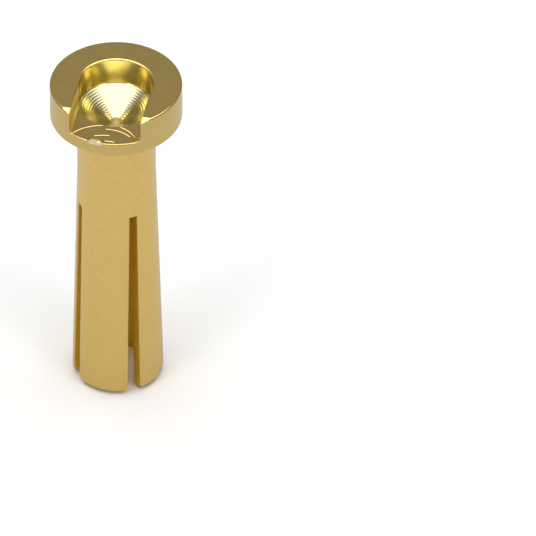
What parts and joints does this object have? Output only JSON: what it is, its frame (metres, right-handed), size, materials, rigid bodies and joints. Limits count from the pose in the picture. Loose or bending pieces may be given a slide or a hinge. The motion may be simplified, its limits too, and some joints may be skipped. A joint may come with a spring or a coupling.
{
  "type": "slotted bullet connector plug for a battery lead",
  "caption": "Gold-plated bullet plug: a flanged head with a side-opening solder cup over a slotted, sprung round pin.",
  "frame": {"origin": "on the plug's axis, in the plane of the finger tips that the plug stands on", "axes": "+Z along the axis from the finger tips to the head; the head's wire channel opens towards -Y"},
  "size_m": [0.0068, 0.0068, 0.0188],
  "materials": {
    "gold_plated_brass": "turned and gold plated, satin with a soft shine"
  },
  "bodies": {
    "root": {"bullet_plug": "gold_plated_brass"}
  },
  "joints": []
}
